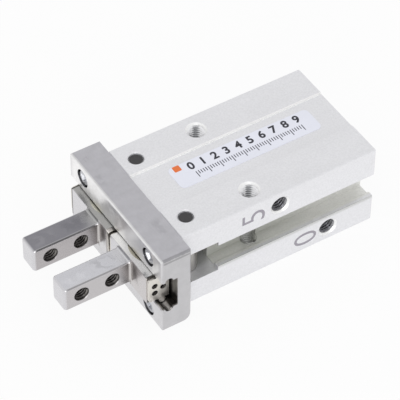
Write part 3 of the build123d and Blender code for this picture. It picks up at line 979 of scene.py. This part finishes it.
@dataclass(frozen=True)
class GuideUnit:
    """Hardened guide with its four cross-recessed screws.

    Attributes:
        seat_x: X of the top of the screw heads.
        head_radius: Radius of a head.
        head_thick: Thickness of a head.
        head_round: Size of the rounding round the top of a head.
        shank_radius: Radius of the shank.
        tip_chamfer: Size of the chamfer at its tip.
        reach: Length of a screw with its head.
        cross_width: Width of the cross, and its width at the bottom as a share of that.
        cross_arm: How far each arm of the cross goes past the middle square.
        cross_stretch: Depth of the cross, as a multiple of its half width.
        spins: Turn of each screw, in degrees, as it was left when tightened.
    """

    seat_x: float = 14.7
    head_radius: float = 1.5
    head_thick: float = 1.2
    head_round: float = 0.42
    shank_radius: float = 0.8
    tip_chamfer: float = 0.25
    reach: float = 10.4
    cross_width: tuple[float, float] = (0.42, 0.42)
    cross_arm: float = 0.74
    cross_stretch: float = 3.6
    spins: tuple[float, ...] = (12.0, 38.0, 71.0, 24.0)

    def build(self) -> None:
        """Dresses the guide and models its screws."""
        dress("finger_guide", GROUND_STEEL)
        pattern = self.screw()
        spins = iter(self.spins)
        for side in Side:
            for level, z in zip(("lower", "upper"), SCREW_Z):
                screw = copy_of(pattern, f"guide_screw_{level}_{side.word}")
                move_to(screw, (self.seat_x, side.value * SCREW_Y, z), Axis.FRONT, next(spins))
                settle(screw, ZINC_PLATE, "root")
                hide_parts("guide_screws")
        bpy.data.objects.remove(pattern)

    def screw(self) -> Piece:
        """Models one screw upright, with the top of its head at the origin.

        Returns:
            The screw.
        """
        clear_selection()
        bpy.ops.mesh.primitive_cylinder_add(
            vertices=48,
            radius=MM * self.head_radius,
            depth=MM * self.head_thick,
            location=(0, 0, -MM * self.head_thick / 2),
        )
        screw = bpy.context.object
        fix_place()
        with editing(screw):
            choose(screw, "FACE", lambda centre, normal: normal.z < -0.9)
            bpy.ops.mesh.inset(thickness=MM * (self.head_radius - self.shank_radius))
            bpy.ops.mesh.extrude_region_move(
                TRANSFORM_OT_translate={"value": (0, 0, -MM * (self.reach - self.head_thick))}
            )
            choose(screw, "EDGE", lambda a, b: min(a.z, b.z) > -0.01)
            bpy.ops.mesh.bevel(
                offset=MM * self.head_round, segments=5, profile=0.55, affect="EDGES"
            )
            choose(screw, "EDGE", lambda a, b: max(a.z, b.z) < 0.01 - self.reach)
            bpy.ops.mesh.bevel(offset=MM * self.tip_chamfer, segments=1, affect="EDGES")
        cross = self.cross()
        cut = {"operation": "DIFFERENCE", "solver": "EXACT", "object": cross}
        apply_modifier(screw, "BOOLEAN", cut)
        bpy.data.objects.remove(cross)
        close_up(screw)
        smooth(screw, 35)
        return screw

    def cross(self) -> Piece:
        """Models the tapered cross that is pressed into a head.

        Returns:
            The cross as one closed mesh.
        """
        width, taper = self.cross_width
        clear_selection()
        bpy.ops.mesh.primitive_cube_add(size=MM * width)
        tool = bpy.context.object
        with editing(tool):
            for direction in ((1, 0, 0), (-1, 0, 0), (0, 1, 0), (0, -1, 0)):
                way = Vector(direction)
                choose(tool, "FACE", lambda centre, normal: normal.dot(way) > 0.9)
                bpy.ops.mesh.extrude_region_move(
                    TRANSFORM_OT_translate={"value": way * MM * self.cross_arm}
                )
            bpy.ops.mesh.select_all(action="SELECT")
            bpy.ops.transform.resize(value=(1, 1, self.cross_stretch))
            choose(tool, "FACE", lambda centre, normal: normal.z < -0.9)
            bpy.ops.transform.resize(value=(taper, taper, 1), center_override=(0, 0, 0))
        return tool


@dataclass(frozen=True)
class FaceTints:
    """Tints of one finger's faces: painted light and shade, with grease in the pocket and wear in
    two spots.

    Attributes:
        top: Upper face of the arm.
        neck: Upper face of the arm beside the guide.
        step: Rise from the arm to the base.
        side: Left side of the arm.
        root: Left side of the arm beside the base.
        line: Long edge between the arm's upper face and left side.
        ledge: Upper face of the base.
        pocket: Floor of the round relief in the ledge.
        face: Front of the base, left of the arm.
        worn: Two spots on the arm's upper face, front and rear.
    """

    top: str
    neck: str
    step: str
    side: str
    root: str
    line: str
    ledge: str
    pocket: str
    face: str
    worn: tuple[str, str]


# Painted light and shade of each finger's faces: the right arm's upper face darker, the left
# base's ledge brighter, and a painted shade line along each arm's long edge.
LEFT_TINTS = FaceTints(
    top="D5D5DA", neck="DCDCDE", step="ADADB1", side="C9C6C7", root="9A9593", line="9A989A",
    ledge="FCFCFA", pocket="D8D4C2", face="D2CECE", worn=("E9E9EE", "A9A9AD"),
)
RIGHT_TINTS = FaceTints(
    top="8F8E94", neck="C9C9C7", step="A3A3A3", side="BCB8B9", root="8F8987", line="504F51",
    ledge="B7B7B5", pocket="DCDACC", face="DCDBDC", worn=("A2A1A6", "77767C"),
)


@dataclass(frozen=True)
class FingerUnit:
    """One finger with its stoppers, balls and jaw threads.

    Attributes:
        side: Side of the finger.
        tints: Tints of its faces.
        seam: Y of its joint with the stopper on its left, and X of the front end of that.
        jaw: Thread of a jaw hole.
        jaw_start: Depth of its end in the arm's inner face.
        jaw_z: Height of the jaw holes.
        arm_inner: Distance of the arm's inner face from the middle.
        arm_outer: Distance of its outer face from the middle.
        edge: Width along an edge that a face's tint leaves out.
    """

    side: Side
    tints: FaceTints
    seam: tuple[float, float]
    jaw: Thread = Thread(2.5, 0.45, 3.6, 20)
    jaw_start: float = 0.2
    jaw_z: float = 8.2
    arm_inner: float = 3.0
    arm_outer: float = 7.0
    edge: float = 0.25

    def build(self) -> None:
        """Dresses the finger and models its jaw threads."""
        word = self.side.word
        dress("finger_" + word, self.finish())
        dress("inner_stopper_" + word, STAMPED_STEEL)
        dress("outer_stopper_" + word, STAMPED_STEEL)
        dress("balls_" + word, BEARING_STEEL)
        start = self.arm_inner + self.jaw_start
        y = start if self.side is Side.LEFT else -start - self.jaw.length
        for name, x in zip(("front", "rear"), JAW_X):
            ridge = self.jaw.model(f"{name}_jaw_thread_{word}")
            move_to(ridge, (x, y, self.jaw_z), Axis.LEFT)
            settle(ridge, STEEL_THREAD, "finger_" + word)

    def finish(self) -> Finish:
        """Finish of the finger, with its tints in the order that they lie on each other.

        Returns:
            The finish.
        """
        low, y = sorted(self.side.value * edge for edge in (self.arm_inner, self.arm_outer))
        start, end = low + self.edge, y - self.edge
        middle = (low + y) / 2
        seam, front = self.seam
        tints = self.tints
        patches = [
            # Painted light and shade on the faces of the arm, and painted shade along its long
            # edge.
            Patch((15.9, start, 10.4), (28.2, end, 11.2), tints.top, (0.5, 0.2, 0.1)),
            Patch((12.0, start, 10.4), (17.2, end, 10.9), tints.neck, (4.0, 0.4, 0.1), 0.9),
            Patch((16.0, start, 10.7), (16.5, end, 11.2), tints.step, (0.1, 0.2, 0.1)),
            Patch((16.5, y - 0.1, 6.0), (28.1, y + 0.1, 10.3), tints.side, (0.4, 0.1, 0.3)),
            Patch((15.0, y - 0.3, 5.0), (17.3, y + 0.3, 10.4), tints.root, (2.6, 0.2, 0.2)),
            Patch(
                (16.8, y - 0.22, 10.34), (27.9, y - 0.01, 10.57), tints.line, (0.6, 0.1, 0.1), 0.9
            ),
            # Painted light and shade on the faces of the sliding base, and grease on the floor of
            # the pocket.
            Patch(
                (12.0, -12.0, 11.05), (16.1, 12.0, 11.3), tints.ledge, (0.15, 0.2, 0.08), 1.0, 0.05
            ),
            Patch((14.0, low - 2.0, 10.9), (15.8, y + 2.0, 11.08), tints.pocket, (0.1, 0.1, 0.05)),
            Patch((16.1, y, 5.0), (16.3, y + 5.0, 11.2), tints.face, (0.1, 0.2, 0.2)),
            # Painted shade on a strip beside the arm, a painted highlight on the fillet next to it
            # and painted shade in the seam with the stopper.
            Patch((16.1, y + 0.6, 8.0), (16.3, y + 1.9, 11.0), "7C7876", (0.1, 1.4, 3.0)),
            Patch((16.0, y - 0.02, 6.5), (16.6, y + 0.6, 10.8), "D2CECC", (0.1, 0.15, 0.8), 0.9),
            Patch(
                (12.0, seam - 0.15, 5.0), (front, seam + 0.1, 11.4), "4A4845",
                (0.1, 0.1, 0.2), 0.95,
            ),
            # Worn spots on the arm.
            *[
                Patch(*box((x, middle, 10.6), (1.8, 1.1, 0.1)), tone, (1.6, 1.2, 0.1), 0.4, 0.9)
                for x, tone in zip((25.4, 20.0), tints.worn)
            ],
            # Painted shade on the walls of the jaw holes.
            *[
                Patch(*box((x, middle, self.jaw_z), (1.7, 1.96, 1.7)), "504E4D", (0.1, 0.03, 0.1))
                for x in JAW_X
            ],
        ]
        return replace(FINGER_STEEL, name="finger_steel_" + self.side.word, patches=tuple(patches))


@dataclass(frozen=True)
class LeverUnit:
    """One lever on its shaft.

    Attributes:
        side: Side of the lever.
    """

    side: Side

    def build(self) -> None:
        """Dresses the lever and its shaft."""
        dress("lever_" + self.side.word, LEVER_STEEL)
        dress("lever_shaft_" + self.side.word, NITRIDED)


@dataclass(frozen=True)
class PistonUnit:
    """Piston rod with what runs and seals in the cylinder."""

    def build(self) -> None:
        """Dresses the pieces inside the cylinder."""
        dress("piston_rod", TURNED_STEEL)
        dress("piston_seal", NITRILE)
        dress("piston_magnet", MAGNET_RUBBER)
        dress("rod_seal", NITRILE)
        dress("rod_seal_holder", TURNED_ALUMINIUM)


@dataclass(frozen=True)
class RearEnd:
    """Cap that closes the cylinder, with its gasket and retaining ring."""

    def build(self) -> None:
        """Dresses the pieces of the rear end."""
        dress("rear_cap", MOULDED_RESIN)
        dress("cap_gasket", NITRILE)
        dress("retaining_ring", PHOSPHATED)


# ---- Studio ----


@dataclass(frozen=True)
class Softbox:
    """Square soft light that points at the gripper.

    Attributes:
        name: Name of the light.
        direction: Where it stands, seen from the gripper.
        distance: How far it stands, in mm.
        size: Length of its side, in mm.
        power: Power in watts.
    """

    name: str
    direction: Triple
    distance: float
    size: float
    power: float

    def build(self) -> None:
        """Adds the light."""
        lamp = bpy.data.lights.new(self.name, "AREA")
        lamp.energy = self.power
        lamp.size = MM * self.size
        owner = bpy.data.objects.new(self.name, lamp)
        way = Vector(self.direction).normalized()
        owner.location = way * MM * self.distance
        owner.rotation_mode = "QUATERNION"
        owner.rotation_quaternion = (-way).to_track_quat("-Z", "Y")
        bpy.context.scene.collection.objects.link(owner)


@dataclass(frozen=True)
class Studio:
    """White sweep, soft lights and the camera at the photograph's angle.

    Attributes:
        azimuth: Turn of the camera round the gripper, in degrees.
        elevation: Angle of the camera above the floor, in degrees.
        roll: Turn of the camera about its own line of sight, in degrees.
        aim: Point that it looks at, in mm.
        distance: How far it stands from that point, in mm.
        lens: Focal length in mm, on a sensor 36 mm wide.
        floor_size: Length of the floor's side, in mm.
        floor_glow: Share of the floor that glows white where it is seen.
        sky: Level of the light from all around.
        lights: Soft lights.
    """

    azimuth: float = 147.43
    elevation: float = 46.07
    roll: float = 0.57
    aim: Triple = (-1.42, -0.01, 9.12)
    distance: float = 399.5
    lens: float = 217.3
    floor_size: float = 3000.0
    floor_glow: float = 0.9
    sky: float = 0.87
    lights: tuple[Softbox, ...] = (
        Softbox("side_softbox", (0.45, 0.8, 0.25), 600.0, 300.0, 0.9),
    )

    def build(self) -> None:
        """Adds the camera, the floor, the surroundings and the lights."""
        self.camera()
        self.floor()
        self.surroundings()
        for light in self.lights:
            light.build()

    def camera(self) -> None:
        """Adds the camera."""
        turn, rise, roll = (math.radians(x) for x in (self.azimuth, self.elevation, self.roll))
        back = Vector(
            (math.sin(turn) * math.cos(rise), -math.cos(turn) * math.cos(rise), math.sin(rise))
        )
        level = Vector((0, 0, 1)).cross(back).normalized()
        upright = back.cross(level)
        right = math.cos(roll) * level + math.sin(roll) * upright
        up = math.cos(roll) * upright - math.sin(roll) * level
        view = bpy.data.cameras.new("photo_camera")
        view.lens = self.lens
        view.sensor_width = 36.0
        view.clip_start, view.clip_end = 0.01, 10.0
        owner = bpy.data.objects.new("photo_camera", view)
        owner.rotation_mode = "QUATERNION"
        owner.rotation_quaternion = Matrix((right, up, back)).transposed().to_quaternion()
        owner.location = (Vector(self.aim) + back * self.distance) * MM
        bpy.context.scene.collection.objects.link(owner)
        bpy.context.scene.camera = owner

    @staticmethod
    def seen(tree: Tree) -> Socket:
        """Adds the test of what the camera sees, straight or in metal and glass.

        Args:
            tree: Node tree of the floor.

        Returns:
            A socket that is 1 where it is seen.
        """
        path = add_node(tree, "LightPath").outputs
        seen = path["Is Camera Ray"]
        for kind in ("Is Glossy Ray", "Is Transmission Ray"):
            seen = compute(tree, "Math", "MAXIMUM", seen, path[kind])
        return seen

    def floor(self) -> None:
        """Adds the white floor, which keeps a faint shadow of the gripper."""
        clear_selection()
        bpy.ops.mesh.primitive_plane_add(size=MM * self.floor_size)
        ground = bpy.context.object
        ground.name = "studio_floor"
        made = bpy.data.materials.new("matt_white_card")
        made.use_nodes = True
        tree = made.node_tree
        tree.nodes.clear()
        card = add_node(tree, "BsdfDiffuse", {"Color": linear("F4F4F4")}).outputs[0]
        glow = add_node(tree, "Emission", {"Strength": 1.0}).outputs[0]
        share = compute(tree, "Math", "MULTIPLY", self.seen(tree), self.floor_glow)
        mix = add_node(tree, "MixShader", {}, {0: share, 1: card, 2: glow}).outputs[0]
        add_node(tree, "OutputMaterial", {}, {"Surface": mix})
        ground.data.materials.append(made)

    def surroundings(self) -> None:
        """Lights the scene evenly from all around."""
        world = bpy.data.worlds.new("pale_tent")
        bpy.context.scene.world = world
        world.use_nodes = True
        tree = world.node_tree
        tree.nodes.clear()
        settings = {"Color": (1.0, 1.0, 1.0, 1.0), "Strength": self.sky}
        light = add_node(tree, "Background", settings).outputs[0]
        add_node(tree, "OutputWorld", {}, {"Surface": light})


def main() -> None:
    """Builds the studio and every sub-assembly in order."""
    logging.basicConfig(level=logging.INFO, format="%(name)s: %(message)s")
    bpy.context.scene.view_settings.view_transform = "Standard"
    Studio().build()
    BodyUnit().build()
    LabelPrint().build()
    GuideUnit().build()
    FingerUnit(Side.LEFT, LEFT_TINTS, (11.8, 16.05)).build()
    LeverUnit(Side.LEFT).build()
    FingerUnit(Side.RIGHT, RIGHT_TINTS, (-11.7, 16.4)).build()
    LeverUnit(Side.RIGHT).build()
    PistonUnit().build()
    RearEnd().build()


if __name__ == "__main__":
    main()
